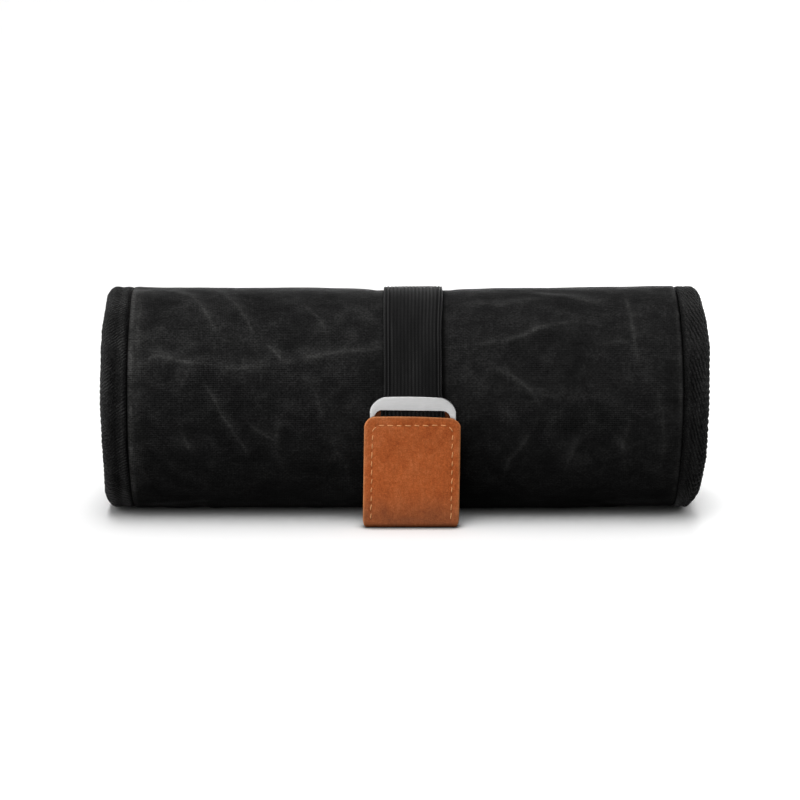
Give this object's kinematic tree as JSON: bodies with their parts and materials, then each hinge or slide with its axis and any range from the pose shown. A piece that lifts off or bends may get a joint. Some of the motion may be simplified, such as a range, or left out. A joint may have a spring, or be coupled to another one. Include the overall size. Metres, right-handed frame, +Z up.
{
  "type": "toiletry roll",
  "caption": "Rolled canvas toiletry case with bound ends, an elastic closing strap, a metal ring and a leather pull tab; it unrolls into a lined panel with zip pockets.",
  "frame": {"origin": "on the flat underside of the roll, below its axis at mid-length", "axes": "+X along the roll to the right, -Y towards the tab, +Z up"},
  "size_m": [0.258, 0.1047, 0.0975],
  "materials": {
    "canvas": "waxed black canvas, mottled",
    "lining": "plain woven lining",
    "tape": "black twill binding tape",
    "elastic": "ribbed black elastic",
    "leather": "tan pull-up leather, waxed",
    "ring_metal": "satin nickel",
    "steel": "plain",
    "zip_coil": "moulded coil",
    "zip_metal": "satin nickel"
  },
  "bodies": {
    "flap": {"canvas_flap": "canvas", "lining_flap": "lining", "binding_left_flap": "tape", "binding_right_flap": "tape", "flap_edge_binding": "tape"},
    "base": {"canvas_base": "canvas", "lining_base": "lining", "binding_left_base": "tape", "binding_right_base": "tape"},
    "front": {"canvas_front": "canvas", "lining_front": "lining", "binding_left_front": "tape", "binding_right_front": "tape", "keeper_plate": "steel"},
    "top": {"canvas_top": "canvas", "lining_top": "lining", "binding_left_top": "tape", "binding_right_top": "tape", "zip_chain_1": "zip_coil"},
    "back": {"canvas_back": "canvas", "lining_back": "lining", "binding_left_back": "tape", "binding_right_back": "tape"},
    "inner_1": {"canvas_inner_1": "canvas", "lining_inner_1": "lining", "binding_left_inner_1": "tape", "binding_right_inner_1": "tape"},
    "inner_2": {"canvas_inner_2": "canvas", "lining_inner_2": "lining", "binding_left_inner_2": "tape", "binding_right_inner_2": "tape"},
    "inner_3": {"canvas_inner_3": "canvas", "lining_inner_3": "lining", "binding_left_inner_3": "tape", "binding_right_inner_3": "tape", "zip_chain_2": "zip_coil"},
    "inner_4": {"canvas_inner_4": "canvas", "lining_inner_4": "lining", "binding_left_inner_4": "tape", "binding_right_inner_4": "tape"},
    "inner_5": {"canvas_inner_5": "canvas", "lining_inner_5": "lining", "binding_left_inner_5": "tape", "binding_right_inner_5": "tape"},
    "core": {"canvas_core": "canvas", "lining_core": "lining", "binding_left_core": "tape", "binding_right_core": "tape", "inner_edge_binding": "tape"},
    "strap_back": {"strap_back": "elastic"},
    "strap_front": {"strap_front": "elastic"},
    "tab": {"tab_front": "leather", "tab_back": "leather", "strap_end": "elastic", "tab_magnet": "steel"},
    "ring": {"ring": "ring_metal"},
    "zip_slider_1": {"zip_slider_1": "zip_metal"},
    "zip_slider_2": {"zip_slider_2": "zip_metal"}
  },
  "joints": [
    {"name": "unroll", "type": "hinge", "parent": "base", "child": "front", "pos_m": [0, -0.03425, 0.01174], "axis": [1, 0, 0], "range_deg": [0, 78.3]},
    {"name": "fold_top", "type": "hinge", "parent": "front", "child": "top", "pos_m": [0, -0.04633, 0.06406], "axis": [1, 0, 0], "range_deg": [0, 66.6]},
    {"name": "fold_back", "type": "hinge", "parent": "top", "child": "back", "pos_m": [0, -0.00341, 0.09599], "axis": [1, 0, 0], "range_deg": [0, 71.1]},
    {"name": "fold_inner_1", "type": "hinge", "parent": "back", "child": "inner_1", "pos_m": [0, 0.0387, 0.06524], "axis": [1, 0, 0], "range_deg": [0, 73.9]},
    {"name": "fold_inner_2", "type": "hinge", "parent": "inner_1", "child": "inner_2", "pos_m": [0, 0.02, 0.01255], "axis": [1, 0, 0], "range_deg": [0, 87.3]},
    {"name": "fold_inner_3", "type": "hinge", "parent": "inner_2", "child": "inner_3", "pos_m": [0, -0.03395, 0.0276], "axis": [1, 0, 0], "range_deg": [0, 92.4]},
    {"name": "fold_inner_4", "type": "hinge", "parent": "inner_3", "child": "inner_4", "pos_m": [0, -0.01851, 0.07927], "axis": [1, 0, 0], "range_deg": [0, 92.5]},
    {"name": "fold_inner_5", "type": "hinge", "parent": "inner_4", "child": "inner_5", "pos_m": [0, 0.02851, 0.06366], "axis": [1, 0, 0], "range_deg": [0, 88]},
    {"name": "fold_core", "type": "hinge", "parent": "inner_5", "child": "core", "pos_m": [0, 0.0146, 0.02191], "axis": [1, 0, 0], "range_deg": [0, 104.5]},
    {"name": "fold_flap", "type": "hinge", "parent": "base", "child": "flap", "pos_m": [0, 0.03425, 0.01174], "axis": [-1, 0, 0], "range_deg": [0, 84.1]},
    {"name": "strap_root", "type": "hinge", "parent": "flap", "child": "strap_back", "pos_m": [0.004, 0.04302, 0.07326], "axis": [-1, 0, 0], "range_deg": [0, 73.9]},
    {"name": "strap_bend", "type": "hinge", "parent": "strap_back", "child": "strap_front", "pos_m": [0.004, -0.01554, 0.09504], "axis": [-1, 0, 0], "range_deg": [0, 82.5]},
    {"name": "tab_lift", "type": "hinge", "parent": "strap_front", "child": "tab", "pos_m": [0.004, -0.0506, 0.057], "axis": [-1, 0, 0], "range_deg": [0, 40]},
    {"name": "ring_tilt", "type": "hinge", "parent": "tab", "child": "ring", "pos_m": [0.004, -0.0532, 0.0451], "axis": [1, 0, 0], "range_deg": [0, 6]},
    {"name": "zip_1", "type": "slide", "parent": "top", "child": "zip_slider_1", "axis": [-1, 0, 0], "range_m": [0, 0.19]},
    {"name": "zip_2", "type": "slide", "parent": "inner_3", "child": "zip_slider_2", "axis": [-1, 0, 0], "range_m": [0, 0.19]}
  ],
  "couplings": [
    {"joint": "fold_top", "follows": "unroll", "ratio": 0.84419},
    {"joint": "fold_back", "follows": "unroll", "ratio": 0.90166},
    {"joint": "fold_inner_1", "follows": "unroll", "ratio": 0.93742},
    {"joint": "fold_inner_2", "follows": "unroll", "ratio": 1.1086},
    {"joint": "fold_inner_3", "follows": "unroll", "ratio": 1.1737},
    {"joint": "fold_inner_4", "follows": "unroll", "ratio": 1.175},
    {"joint": "fold_inner_5", "follows": "unroll", "ratio": 1.1175},
    {"joint": "fold_core", "follows": "unroll", "ratio": 1.3282},
    {"joint": "fold_flap", "follows": "unroll", "ratio": 1.0677},
    {"joint": "strap_root", "follows": "unroll", "ratio": 0.93742},
    {"joint": "strap_bend", "follows": "unroll", "ratio": 1.0473}
  ]
}
